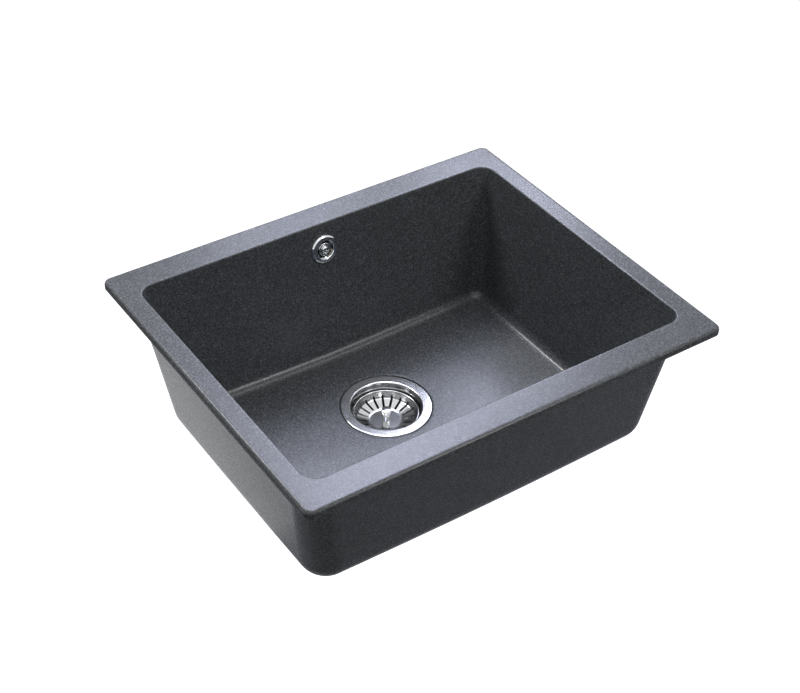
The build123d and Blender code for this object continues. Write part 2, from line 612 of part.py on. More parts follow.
PIECES = {
    "bowl": bowl,
    "rim_inserts": rim_inserts,
    "strainer_cup": strainer_cup,
    "flange_gasket": flange_gasket,
    "underside_gasket": underside_gasket,
    "waste_body": waste_body,
    "outlet_tail": outlet_tail,
    "clamp_screw": clamp_screw,
    "clamp_nut": clamp_nut,
    "overflow_rosette": overflow_rosette,
    "overflow_screw": overflow_screw,
    "overflow_gasket": overflow_gasket,
    "overflow_elbow": overflow_elbow,
    "overflow_screw_insert": overflow_screw_insert,
    "overflow_pipe": overflow_pipe,
    "upper_pipe_nut": pipe_nut(upper_end),
    "upper_pipe_seal": pipe_seal(upper_end),
    "lower_pipe_nut": pipe_nut(lower_end),
    "lower_pipe_seal": pipe_seal(lower_end),
    "basket_shell": basket_shell,
    "basket_stopper": basket_stopper,
    "basket_washer": basket_washer,
    "basket_nut": basket_nut,
    "basket_stem": basket_stem,
    "basket_knob": basket_knob,
}

os.makedirs("parts", exist_ok=True)
for name, shape in PIECES.items():
    export_step(shape, "parts/" + name + ".step")
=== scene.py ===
import json
import math
from functools import partial

import bmesh
import bpy
import numpy as np
from bpy.props import FloatProperty, FloatVectorProperty, IntProperty, PointerProperty
from mathutils import Matrix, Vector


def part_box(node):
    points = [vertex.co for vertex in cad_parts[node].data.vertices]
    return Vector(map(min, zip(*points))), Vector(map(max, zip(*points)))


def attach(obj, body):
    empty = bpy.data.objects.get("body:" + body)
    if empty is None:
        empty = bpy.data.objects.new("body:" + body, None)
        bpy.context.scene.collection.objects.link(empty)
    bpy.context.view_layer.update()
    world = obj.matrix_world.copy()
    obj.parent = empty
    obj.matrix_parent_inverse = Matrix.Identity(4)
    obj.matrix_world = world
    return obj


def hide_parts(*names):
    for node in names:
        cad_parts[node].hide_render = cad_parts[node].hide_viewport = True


bl_info = {
    "name": "Quartz kitchen sink",
    "version": (1, 0, 0),
    "blender": (4, 5, 0),
    "location": "View3D > Sidebar > Sink",
    "description": "Dresses the packed kitchen sink: bowl, basket waste, overflow, materials and stage",
    "category": "Object",
}

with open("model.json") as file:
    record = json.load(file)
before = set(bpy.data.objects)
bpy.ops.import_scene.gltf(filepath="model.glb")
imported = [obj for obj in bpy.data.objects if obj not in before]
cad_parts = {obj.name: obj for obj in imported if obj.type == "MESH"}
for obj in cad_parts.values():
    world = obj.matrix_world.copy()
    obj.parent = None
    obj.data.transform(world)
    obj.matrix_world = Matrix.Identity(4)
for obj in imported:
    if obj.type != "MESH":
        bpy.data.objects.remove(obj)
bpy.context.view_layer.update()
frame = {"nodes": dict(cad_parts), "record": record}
MM = 0.001


def box_mm(node):
    """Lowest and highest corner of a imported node, in millimetres."""
    low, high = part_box(node)
    return np.array(low) / MM, np.array(high) / MM


BOWL_LOW, BOWL_HIGH = box_mm("bowl")
CUP_LOW, CUP_HIGH = box_mm("strainer_cup")
CUP_MIDDLE = (CUP_LOW + CUP_HIGH) / 2


def linear(code):
    """An sRGB hex colour as linear red, green and blue."""
    values = [int(code[i : i + 2], 16) / 255 for i in (0, 2, 4)]
    return tuple(v / 12.92 if v <= 0.04045 else ((v + 0.055) / 1.055) ** 2.4 for v in values)


def length(name, description, millimetres):
    """A length property whose default is given in millimetres."""
    return FloatProperty(
        name=name,
        description=description,
        default=millimetres * MM,
        min=0.0,
        unit="LENGTH",
        subtype="DISTANCE",
    )


def colour(name, description, code):
    """A colour property whose default is an sRGB hex code."""
    return FloatVectorProperty(
        name=name, description=description, default=linear(code), size=3, min=0.0, max=1.0, subtype="COLOR"
    )


class SinkSizes(bpy.types.PropertyGroup):
    """Sizes of the sink that the surfaces follow."""

    rim_length: length("Rim length", "Long side of the rim", BOWL_HIGH[0] - BOWL_LOW[0])
    rim_width: length("Rim width", "Short side of the rim", BOWL_HIGH[1] - BOWL_LOW[1])
    rim_thickness: length("Rim thickness", "Height of the rim over the worktop", BOWL_HIGH[2])
    rim_corner: length("Rim corner", "Corner radius of the rim in plan", 10.0)
    rim_top_round: length("Rim top round", "Rounding of the rim's upper edge", 4.0)
    rim_bottom_round: length("Rim bottom round", "Rounding of the rim's lower edge", 0.8)
    side_border: length("Side border", "Flat rim beside the opening at the two ends", 26.0)
    end_border: length("Front and back border", "Flat rim before and behind the opening", 38.8)
    edge_round: length("Opening edge", "Rounding of the opening's upper edge", 2.0)
    bowl_depth: length("Bowl depth", "From the rim's top to the floor at the drain", 185.0)
    wall: length("Wall", "Thickness of the bowl's walls", 10.0)
    floor_thickness: length("Floor thickness", "Thickness of the bowl's floor", 11.0)
    inner_corner: length("Inner corner", "Upright corner radius inside the bowl", 18.0)
    outer_corner: length("Outer corner", "Upright corner radius outside the bowl", 34.0)
    inner_foot: length("Inner foot", "Rounding between walls and floor inside", 14.0)
    outer_foot: length("Outer foot", "Rounding between walls and floor outside", 33.0)
    root: length("Root", "Rounding under the rim where the walls begin", 4.0)
    drain_y: length("Drain place", "Distance of the drain behind the middle", CUP_MIDDLE[1])
    overflow_drop: length("Overflow drop", "From the rim's top down to the overflow", 34.5)
    slot_width: length("Slot width", "Width of a slot in the basket", 3.0)
    spoke_width: length("Spoke width", "Width of a spoke between the cup's windows", 5.0)
    thread_pitch: length("Thread pitch", "Rise of the outlet's thread in one turn", 2.309)
    thread_depth: length("Thread depth", "Depth of the outlet's thread", 1.48)
    ridge_height: length("Ridge height", "Height of the grip ridges on the pipe nuts", 1.4)
    slots: IntProperty(name="Slots", description="Slots in the basket", default=20, min=4, max=60)
    windows: IntProperty(name="Windows", description="Windows in the cup's hub", default=5, min=3, max=12)
    ridges: IntProperty(name="Ridges", description="Grip ridges on a pipe nut", default=10, min=4, max=40)


COUNTS = ("slots", "windows", "ridges")


class SinkFinish(bpy.types.PropertyGroup):
    """Colours of the sink's materials."""

    quartz: colour("Quartz", "Body colour of the quartz composite", "4E5153")
    quartz_light: colour("Light grains", "Palest grains in the quartz", "787B80")
    quartz_dark: colour("Dark grains", "Darkest grains in the quartz", "333536")
    steel: colour("Steel", "Polished stainless steel of the waste", "D1D2D3")
    chrome: colour("Chrome", "Chrome plating of the overflow cover", "DFE1E3")
    plastic: colour("Polypropylene", "White plastic of the waste and pipe", "E6E5DF")
    rubber: colour("Rubber", "Black rubber of the seals", "1B1B1C")
    brass: colour("Brass", "Brass of the inserts and nut", "AA915F")


def sizes():
    """The sink's sizes as plain numbers in millimetres, and its counts."""
    group = bpy.context.scene.sink_sizes
    values = {name: getattr(group, name) for name in SinkSizes.__annotations__}
    return {name: value if name in COUNTS else value / MM for name, value in values.items()}


# Slopes of the bowl: walls lean in by these amounts per unit of depth, the floor falls to the drain
SIDE_DRAFT, FRONT_DRAFT, BACK_DRAFT = 0.138, 0.128, 0.182
FLOOR_PITCH = 0.042

# Drain and overflow holes in the bowl, in millimetres
RECESS_RADIUS, RECESS_DEPTH = 58.2, 3.0
RECESS_LIP, RECESS_EDGE_OUT, RECESS_EDGE_DROP = 0.8, 0.25, 0.06
DRAIN_HOLE_RADIUS = 45.5
DRAIN_EDGE = 0.5
BOSS_RADIUS, BOSS_DEPTH = 61.0, 12.5
OVERFLOW_HOLE_RADIUS = 13.0

# Rows of points on the walls: round the overflow as drops from its middle, elsewhere as drops from the rim's
# top, and the last ones as heights above the foot; the window is the block that the overflow hole is cut in
OUTER_WINDOW_ROWS = (-18.0, -8.0, 2.0, 12.0, 22.0)
INNER_WINDOW_ROWS = (-24.0, -12.0, 0.0, 12.0, 24.0)
BELOW_OUTER_WINDOW = 40.0
OUTER_LOWER_ROW = 105.0
INNER_TOP_ROW = 5.0
INNER_LOWER_ROWS = (95.0, 130.0)
ABOVE_OUTER_FOOT, ABOVE_INNER_FOOT = 3.0, 2.0
WINDOW_HALF_WIDTH = 26.0

# Rows of points on the floor, as shares of the way from the walls to the drain
FLOOR_SHARES = (0.02, 0.25, 0.5, 0.75, 0.98, 1.0)


def add(tree, kind, inputs=None, stops=(), **settings):
    """Adds a node with its settings. Each input takes a value or another node's socket, and the stops of
    a colour ramp are (place, linear colour)."""
    node = tree.nodes.new(kind)
    for key, value in settings.items():
        setattr(node, key, value)
    while stops and len(node.color_ramp.elements) < len(stops):
        node.color_ramp.elements.new(1.0)
    for number, (place, shade) in enumerate(stops):
        node.color_ramp.elements[number].position = place
        node.color_ramp.elements[number].color = (*shade, 1.0)
    for socket, value in (inputs or {}).items():
        if isinstance(value, bpy.types.NodeSocket):
            tree.links.new(value, node.inputs[socket])
        else:
            node.inputs[socket].default_value = value
    return node


def material(name):
    """A new empty node material and its tree."""
    made = bpy.data.materials.new(name)
    made.use_nodes = True
    made.node_tree.nodes.clear()
    return made, made.node_tree


def grain_scale(millimetres):
    """Cells per metre for grains of that size."""
    return 1.0 / (millimetres * MM)


def quartz_material():
    """Quartz composite, moulded: 80 % quartz sand in tinted acrylic resin. The mould leaves a satin skin, so
    the eye sees fine pale and dark grains under a soft sheen."""
    finish = bpy.context.scene.sink_finish
    base, light, dark = tuple(finish.quartz), tuple(finish.quartz_light), tuple(finish.quartz_dark)
    made, tree = material("quartz_composite_moulded")
    place = add(tree, "ShaderNodeTexCoord").outputs["Object"]
    # Sand is 0.2 to 0.7 mm across: drawn at 1.1 mm, the finest that shows at this distance
    cells = add(tree, "ShaderNodeTexVoronoi", {"Vector": place, "Scale": grain_scale(1.1)})
    pick = add(tree, "ShaderNodeSeparateColor", {"Color": cells.outputs["Color"]})
    middle = tuple(0.8 * body + 0.2 * pale for body, pale in zip(base, light))
    grains = add(
        tree,
        "ShaderNodeValToRGB",
        {"Fac": pick.outputs["Red"]},
        [(0.0, dark), (0.16, base), (0.5, base), (0.72, middle), (0.9, light), (1.0, light)],
    )
    # Slow clouds from the way the mix flows into the mould, about 40 mm across
    cloud = add(tree, "ShaderNodeTexNoise", {"Vector": place, "Scale": grain_scale(40), "Detail": 3.0})
    shade = add(
        tree,
        "ShaderNodeMapRange",
        {"Value": cloud.outputs["Fac"], "From Min": 0.3, "From Max": 0.7, "To Min": 0.95, "To Max": 1.05},
    )
    tinted = add(
        tree,
        "ShaderNodeVectorMath",
        {0: grains.outputs["Color"], "Scale": shade.outputs["Result"]},
        operation="SCALE",
    )
    # Tips of the sand under the skin: a relief of 0.15 mm at most, in bumps of 0.8 mm
    fine = add(tree, "ShaderNodeTexNoise", {"Vector": place, "Scale": grain_scale(0.8), "Detail": 2.0})
    relief = add(
        tree,
        "ShaderNodeBump",
        {"Height": fine.outputs["Fac"], "Strength": 0.25, "Distance": 0.15 * MM},
    )
    # Grains that lie bare are rougher than those under resin
    gloss = add(
        tree,
        "ShaderNodeMapRange",
        {"Value": pick.outputs["Green"], "To Min": 0.21, "To Max": 0.3},
    )
    shader = add(
        tree,
        "ShaderNodeBsdfPrincipled",
        {
            "Base Color": tinted.outputs["Vector"],
            "Roughness": gloss.outputs["Result"],
            "Specular IOR Level": 0.36,
            "IOR": 1.5,
            "Normal": relief.outputs["Normal"],
        },
    )
    add(tree, "ShaderNodeOutputMaterial", {"Surface": shader.outputs["BSDF"]})
    return made


def metal_material(name, shade, smooth, rough, patch, relief_depth):
    """A metal: its roughness wanders between two values over patches of one size, with a faint relief."""
    made, tree = material(name)
    place = add(tree, "ShaderNodeTexCoord").outputs["Object"]
    wander = add(tree, "ShaderNodeTexNoise", {"Vector": place, "Scale": grain_scale(patch), "Detail": 4.0})
    gloss = add(
        tree,
        "ShaderNodeMapRange",
        {
            "Value": wander.outputs["Fac"],
            "From Min": 0.3,
            "From Max": 0.7,
            "To Min": smooth,
            "To Max": rough,
        },
    )
    relief = add(
        tree,
        "ShaderNodeBump",
        {"Height": wander.outputs["Fac"], "Strength": 0.2, "Distance": relief_depth * MM},
    )
    dull = tuple(0.93 * part for part in shade)
    tone = add(
        tree,
        "ShaderNodeValToRGB",
        {"Fac": wander.outputs["Fac"]},
        [(0.3, dull), (0.7, tuple(shade))],
    )
    shader = add(
        tree,
        "ShaderNodeBsdfPrincipled",
        {
            "Base Color": tone.outputs["Color"],
            "Metallic": 1.0,
            "Roughness": gloss.outputs["Result"],
            "Normal": relief.outputs["Normal"],
        },
    )
    add(tree, "ShaderNodeOutputMaterial", {"Surface": shader.outputs["BSDF"]})
    return made


def moulded_material(name, shade, rough, grain, relief_depth):
    """A moulded plastic or rubber: one colour with a faint cloud, and a fine grain from the mould."""
    made, tree = material(name)
    place = add(tree, "ShaderNodeTexCoord").outputs["Object"]
    cloud = add(tree, "ShaderNodeTexNoise", {"Vector": place, "Scale": grain_scale(18), "Detail": 3.0})
    dull = tuple(0.86 * part for part in shade)
    tone = add(
        tree,
        "ShaderNodeValToRGB",
        {"Fac": cloud.outputs["Fac"]},
        [(0.3, dull), (0.7, tuple(shade))],
    )
    fine = add(tree, "ShaderNodeTexNoise", {"Vector": place, "Scale": grain_scale(grain), "Detail": 2.0})
    gloss = add(
        tree,
        "ShaderNodeMapRange",
        {"Value": fine.outputs["Fac"], "To Min": rough - 0.08, "To Max": rough + 0.08},
    )
    relief = add(
        tree,
        "ShaderNodeBump",
        {"Height": fine.outputs["Fac"], "Strength": 0.3, "Distance": relief_depth * MM},
    )
    shader = add(
        tree,
        "ShaderNodeBsdfPrincipled",
        {
            "Base Color": tone.outputs["Color"],
            "Roughness": gloss.outputs["Result"],
            "Normal": relief.outputs["Normal"],
        },
    )
    add(tree, "ShaderNodeOutputMaterial", {"Surface": shader.outputs["BSDF"]})
    return made


# Materials made so far, by the record's slot
FINISHES = {}


def finish_of(slot):
    """The material for a slot of the record, made once."""
    finish = bpy.context.scene.sink_finish
    makers = {
        "quartz": quartz_material,
        # Stainless steel, pressed and polished: bright images with soft edges, from the polishing haze
        "steel": partial(
            metal_material,
            "stainless_steel_polished",
            finish.steel,
            smooth=0.125,
            rough=0.135,
            patch=8.0,
            relief_depth=0.0005,
        ),
        # Chrome over brass, electroplated: a near mirror, whose gloss wanders a little
        "chrome": partial(
            metal_material,
            "chrome_plated",
            finish.chrome,
            smooth=0.05,
            rough=0.06,
            patch=8.0,
            relief_depth=0.0005,
        ),
        # Brass, turned: a soft yellow gloss, uneven from the tool
        "brass": partial(
            metal_material,
            "brass_turned",
            finish.brass,
            smooth=0.25,
            rough=0.4,
            patch=0.9,
            relief_depth=0.01,
        ),
        # Rubber, moulded: nearly black and matt
        "rubber": partial(
            moulded_material,
            "rubber_moulded",
            finish.rubber,
            rough=0.62,
            grain=0.7,
            relief_depth=0.05,
        ),
        # Polypropylene, injection moulded: waxy white with a fine satin grain
        "white_plastic": partial(
            moulded_material,
            "polypropylene_moulded",
            finish.plastic,
            rough=0.38,
            grain=0.6,
            relief_depth=0.02,
        ),
    }
    if slot not in FINISHES:
        FINISHES[slot] = makers[slot]()
    return FINISHES[slot]


# Points nearer than the first length are one point, and edges shorter than the second are none
DOUBLE_DISTANCE, SHORTEST_EDGE = 0.002, 0.001
SHARP_ANGLE = math.radians(35.0)


def weld(mesh):
    """Merges doubled points at seams and poles, and turns the faces of a closed shell outwards."""
    work = bmesh.new()
    work.from_mesh(mesh)
    bmesh.ops.remove_doubles(work, verts=work.verts, dist=DOUBLE_DISTANCE * MM)
    bmesh.ops.dissolve_degenerate(work, edges=work.edges, dist=SHORTEST_EDGE * MM)
    bmesh.ops.recalc_face_normals(work, faces=work.faces)
    work.to_mesh(mesh)
    work.free()


def piece(name, shells, slot, body, node):
    """One object from shells, each (points in millimetres, quads). It rides on a body, takes its finish from
    a slot and stands for a node."""
    points, quads, count = [], [], 0
    for shell_points, shell_quads in shells:
        flat = np.asarray(shell_points, float).reshape(-1, 3)
        points.append(flat)
        quads.append(np.asarray(shell_quads) + count)
        count += len(flat)
    mesh = bpy.data.meshes.new(name)
    mesh.from_pydata((np.concatenate(points) * MM).tolist(), [], np.concatenate(quads).tolist())
    weld(mesh)
    mesh.shade_smooth()
    mesh.set_sharp_from_angle(angle=SHARP_ANGLE)
    made = bpy.data.objects.new(name, mesh)
    bpy.context.scene.collection.objects.link(made)
    mesh.materials.append(finish_of(slot))
    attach(made, body)
    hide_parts(node)


def grid_quads(rows, columns, close_rows=False):
    """Corner numbers of the quads in a grid of points, whose columns go once round. Its rows may be closed on
    themselves too."""
    row = np.arange(rows if close_rows else rows - 1)[:, None]
    column = np.arange(columns)[None, :]
    here, below = row * columns, (row + 1) % rows * columns
    onward = (column + 1) % columns
    return np.stack([here + column, here + onward, below + onward, below + column], axis=-1)


class BowlForm:
    """Loops round the bowl. A loop is a rounded rectangle: a point is its corner centre, moved along the
    side on straights, plus the corner radius times the outward direction. All loops share their columns."""

    WINDOW_COLUMNS = 8
    CORNER_STEPS = 14
    FOOT_ROUNDS = 8

    def __init__(self, size):
        self.size = size
        self.top = size["rim_thickness"]
        self.half_x = size["rim_length"] / 2 - size["side_border"]
        self.half_y = size["rim_width"] / 2 - size["end_border"]
        self.floor = self.top - size["bowl_depth"]
        self.drain = size["drain_y"]
        # Columns along the sides, as shares of the way from the middle to the corner, closer at the corners
        window = WINDOW_HALF_WIDTH / (self.half_x - size["inner_corner"])
        outer = np.concatenate([[1.0, 0.985], np.linspace(0.85, window, 5)])
        inner = np.linspace(window, -window, self.WINDOW_COLUMNS + 1)[1:-1]
        long_side = np.concatenate([outer, inner, -outer[::-1]])
        short_side = np.concatenate([[-1.0, -0.98], np.linspace(-0.8, 0.8, 7), [0.98, 1.0]])
        turn = np.linspace(0, math.pi / 2, self.CORNER_STEPS + 1)[1:-1]
        one = np.ones_like
        first_x = np.concatenate([one(short_side), one(turn), long_side, -one(turn)])
        first_y = np.concatenate([short_side, one(turn), one(long_side), one(turn)])
        angle = np.concatenate([0 * short_side, turn, 0 * long_side + math.pi / 2, turn + math.pi / 2])
        # The second half of the loop is the first half turned half way round
        self.centre_x = np.concatenate([first_x, -first_x])
        self.centre_y = np.concatenate([first_y, -first_y])
        angle = np.concatenate([angle, angle + math.pi])
        self.out_x, self.out_y = np.cos(angle), np.sin(angle)
        self.window_start = len(short_side) + len(turn) + len(outer) - 1
        mean, half = (FRONT_DRAFT - BACK_DRAFT) / 2, (FRONT_DRAFT + BACK_DRAFT) / 2
        # How fast the wall moves in with depth, measured along the outward direction
        self.slope = self.out_x * self.centre_x * SIDE_DRAFT + self.out_y * (self.centre_y * half - mean)

    def rim(self, inset, height):
        """The rim's outline moved in by inset, at a height."""
        size = self.size
        radius = size["rim_corner"]
        x = self.centre_x * (size["rim_length"] / 2 - radius) + (radius - inset) * self.out_x
        y = self.centre_y * (size["rim_width"] / 2 - radius) + (radius - inset) * self.out_y
        return np.stack(np.broadcast_arrays(x, y, height), axis=-1)

    def wall(self, drop, outset, corner):
        """The drafted opening, grown by outset, at a drop below the rim's top."""
        half_x = self.half_x + outset - SIDE_DRAFT * drop
        front = -self.half_y - outset + FRONT_DRAFT * drop
        back = self.half_y + outset - BACK_DRAFT * drop
        x = self.centre_x * (half_x - corner) + corner * self.out_x
        y = (front + back) / 2 + self.centre_y * ((back - front) / 2 - corner) + corner * self.out_y
        return np.stack(np.broadcast_arrays(x, y, self.top - drop), axis=-1)

    def inward(self, loop, step, height):
        """A loop moved inwards by step along its own directions, at new heights."""
        x = loop[..., 0] - self.out_x * step
        y = loop[..., 1] - self.out_y * step
        return np.stack(np.broadcast_arrays(x, y, height), axis=-1)

    def shoulder(self, drop, radius, outset, corner, steps=6):
        """A quarter round from a level face into the wall: a circle that touches both."""
        lean = np.sqrt(1 + self.slope**2)
        turn = np.linspace(np.full_like(lean, math.pi / 2), np.arctan(self.slope), steps + 1)
        step = radius * (self.slope - lean + np.cos(turn))
        height = self.top - drop + radius * (np.sin(turn) - 1)
        return self.inward(self.wall(drop, outset, corner), step, height)

    def foot(self, level, radius, outset, corner, steps=14):
        """A round from the wall into the floor: a circle that touches the leaning wall and the sloping
        floor. Its centre is found in a few rounds, because the floor's level depends on where it touches."""
        lean = np.sqrt(1 + self.slope**2)
        drop = np.full_like(lean, self.top - self.floor - level - radius)
        for _ in range(self.FOOT_ROUNDS):
            loop = self.wall(drop, outset, corner)
            reach = np.hypot(loop[:, 0], loop[:, 1] - self.drain)
            along = (loop[:, 0] * self.out_x + (loop[:, 1] - self.drain) * self.out_y) / reach
            fall = FLOOR_PITCH * along
            ground = self.floor + level + FLOOR_PITCH * (reach - RECESS_RADIUS)
            flat = np.sqrt(1 + fall**2)
            lift = self.top - drop - ground - radius * flat
            centre_in = (radius * lean + self.slope * lift) / (1 - self.slope * fall)
            centre_up = ground + radius * flat - fall * centre_in
            drop = self.top - centre_up + radius * self.slope / lean
        loop = self.wall(drop, outset, corner)
        turn = np.linspace(math.pi + np.arctan(self.slope), 1.5 * math.pi - np.arctan(fall), steps + 1)
        rows = self.inward(loop, centre_in + radius * np.cos(turn), centre_up + radius * np.sin(turn))
        # The last row is set on the cone of the floor, and the rows before it share the small difference
        reach = np.hypot(rows[-1, :, 0], rows[-1, :, 1] - self.drain)
        error = self.floor + level + FLOOR_PITCH * (reach - RECESS_RADIUS) - rows[-1, :, 2]
        rows[..., 2] += error * np.linspace(0, 1, steps + 1)[:, None] ** 2
        return drop, rows

    def floor_rows(self, edge, level, radius, shares):
        """Straight lines on the floor's cone from the foot towards a ring round the drain."""
        x, y = edge[:, 0], edge[:, 1] - self.drain
        reach = np.hypot(x, y)
        part = np.asarray(shares)[:, None]
        new = reach + part * (radius - reach)
        height = self.floor + level + FLOOR_PITCH * (new - RECESS_RADIUS)
        return np.stack([x / reach * new, y / reach * new + self.drain, height], axis=-1)

    def rings(self, edge, outline):
        """Rings round the drain, (radius, level) each, with their points on the same lines as an edge."""
        x, y = edge[:, 0], edge[:, 1] - self.drain
        reach = np.hypot(x, y)
        radius, level = np.array(outline).T[:, :, None]
        ring_x, ring_y = x / reach * radius, y / reach * radius + self.drain
        return np.stack(np.broadcast_arrays(ring_x, ring_y, self.floor + level), axis=-1)


def between(low, high, shares):
    """Rows part of the way between two rows."""
    part = np.asarray(shares)[:, None, None]
    return low[None] * (1 - part) + high[None] * part


def window_edge(numbers):
    """The border of a block of point numbers, once round."""
    return np.concatenate([numbers[0, :-1], numbers[:-1, -1], numbers[-1, :0:-1], numbers[:0:-1, 0]])


def drain_place(form):
    """Middle of the drain on the floor's level, and its axes."""
    return np.array([0.0, form.drain, form.floor]), np.eye(3)


def overflow_place(form):
    """Middle of the overflow on the back wall's inner face, and its axes: along the wall, up it and out of
    it into the bowl."""
    drop, lean = form.size["overflow_drop"], math.hypot(1.0, BACK_DRAFT)
    middle = np.array([0.0, form.half_y - BACK_DRAFT * drop, form.top - drop])
    along = [1.0, 0.0, 0.0]
    upward = [0.0, BACK_DRAFT / lean, 1.0 / lean]
    normal = [0.0, -1.0 / lean, BACK_DRAFT / lean]
    return middle, np.array([along, upward, normal])


def at(place, points):
    """Points of a place's own axes in the sink's frame: the middle plus each coordinate times its axis."""
    middle, axes = place
    return middle + points @ axes


def rounded(corners, finest=6.0):
    """An open line through (radius, height) corners. A third value rounds that corner: an arc of that
    radius that touches both sides, in steps of about the finest angle in degrees."""
    points = [np.array(corners[0][:2], float)]
    for before, here, after in zip(corners, corners[1:], corners[2:]):
        spot = np.array(here[:2], float)
        if len(here) == 2:
            points.append(spot)
            continue
        into = spot - before[:2]
        onward = np.array(after[:2], float) - spot
        into, onward = into / np.hypot(*into), onward / np.hypot(*onward)
        turn = math.atan2(into[0] * onward[1] - into[1] * onward[0], into @ onward)
        start = spot - into * here[2] * math.tan(abs(turn) / 2)
        spoke = math.copysign(here[2], turn) * np.array([into[1], -into[0]])
        swing = np.linspace(0, turn, max(3, int(abs(math.degrees(turn)) / finest) + 1))[:, None]
        onto = np.array([-spoke[1], spoke[0]])
        points.extend(start - spoke + np.cos(swing) * spoke + np.sin(swing) * onto)
    points.append(np.array(corners[-1][:2], float))
    return np.array(points)


def turned(place, line, columns, swell=0.0):
    """A line of (radius, height) points turned about an axis: (r cos a, r sin a, h), with a swell added to
    the radius r. The line is closed on itself unless both of its ends are on the axis."""
    angle = np.linspace(0, 2 * math.pi, columns, endpoint=False)
    radius, height = line[:, 0, None] + swell, line[:, 1, None]
    points = np.stack(np.broadcast_arrays(radius * np.cos(angle), radius * np.sin(angle), height), axis=-1)
    open_ends = line[0, 0] == 0 and line[-1, 0] == 0
    return at(place, points), grid_quads(len(line), columns, close_rows=not open_ends).reshape(-1, 4)


# Rows of a pressed sheet, in millimetres: their spacing, and how far they keep from an opening's ends
ROW_SPACING = 2.5
END_CLEARANCE, END_MARGIN = 0.6, 1.0


def pressed(place, near, sheet, sectors, half_opening, cut, corner, first, gap, land):
    """A pressed sheet turned about an axis, with a ring of equal openings through it.
    The near face follows a line of (radius, height) corners from the rim to the middle, and the far face
    lies a sheet's thickness behind it. An opening reaches between the two places along the line that cut
    gives, and half_opening of the radius is its half angle. Its ends bulge by corner, along half an ellipse.
    It has gap columns of faces across an opening, and land columns up to the next."""
    line = rounded(near)
    along = np.concatenate([[0.0], np.cumsum(np.hypot(*np.diff(line, axis=0).T))])
    slope = np.gradient(line, along, axis=0)
    behind = np.stack([-slope[:, 1], slope[:, 0]], axis=1) / np.hypot(*slope.T)[:, None]
    start, end = cut(line, along)
    spread = np.unique(np.concatenate([along, np.arange(0.0, along[-1], ROW_SPACING)]).round(3))
    kept = np.minimum(np.abs(spread - start), np.abs(spread - end)) > corner + END_CLEARANCE
    rows = np.sort(np.concatenate([spread[kept], [start, end, start - END_MARGIN, end + END_MARGIN]]))
    top, foot = np.searchsorted(rows, start), np.searchsorted(rows, end)
    # Across a sector: an opening from -1 to 1, then the land up to the next opening
    across = np.linspace(-1, 1, gap + 1)
    part = np.linspace(0, 1, land + 1)[1:-1]
    step = 2 * math.pi / sectors
    stations = np.repeat(rows[:, None], gap + land, axis=1)
    bulge = corner * (1 - np.sqrt(1 - across**2))
    stations[top, : gap + 1] += bulge
    stations[foot, : gap + 1] -= bulge
    radius, height, out, down = (np.interp(stations, along, row) for row in (*line.T, *behind.T))
    half = half_opening(radius)
    over_opening = half[:, : gap + 1] * across
    over_land = half[:, gap + 1 :] * (1 - 2 * part) + step * part
    share = np.concatenate([over_opening, over_land], axis=1)
    angle = (first + step * np.arange(sectors)[None, :, None] + share[:, None, :]).reshape(len(rows), -1)
    faces = []
    for depth in (0.0, sheet):
        reach = np.tile(radius + depth * out, (1, sectors))
        level = np.tile(height + depth * down, (1, sectors))
        faces.append(np.stack([reach * np.cos(angle), reach * np.sin(angle), level], axis=-1))
    count, columns = angle.shape
    near_numbers = np.arange(count * columns).reshape(count, columns)
    keep = np.ones((count - 1, sectors, gap + land), bool)
    keep[top:foot, :, :gap] = False
    skin = grid_quads(count, columns)[keep.reshape(count - 1, columns)]
    quads = [skin, skin + near_numbers.size]
    loops = [near_numbers[0], near_numbers[-1]]
    for first_column in range(0, columns, gap + land):
        loops.append(window_edge(near_numbers[top : foot + 1, first_column : first_column + gap + 1]))
    for loop in loops:
        onward = np.roll(loop, -1)
        far, far_onward = loop + near_numbers.size, onward + near_numbers.size
        quads.append(np.stack([loop, onward, far_onward, far], axis=-1))
    return at(place, np.concatenate(faces).reshape(-1, 3)), np.concatenate(quads)


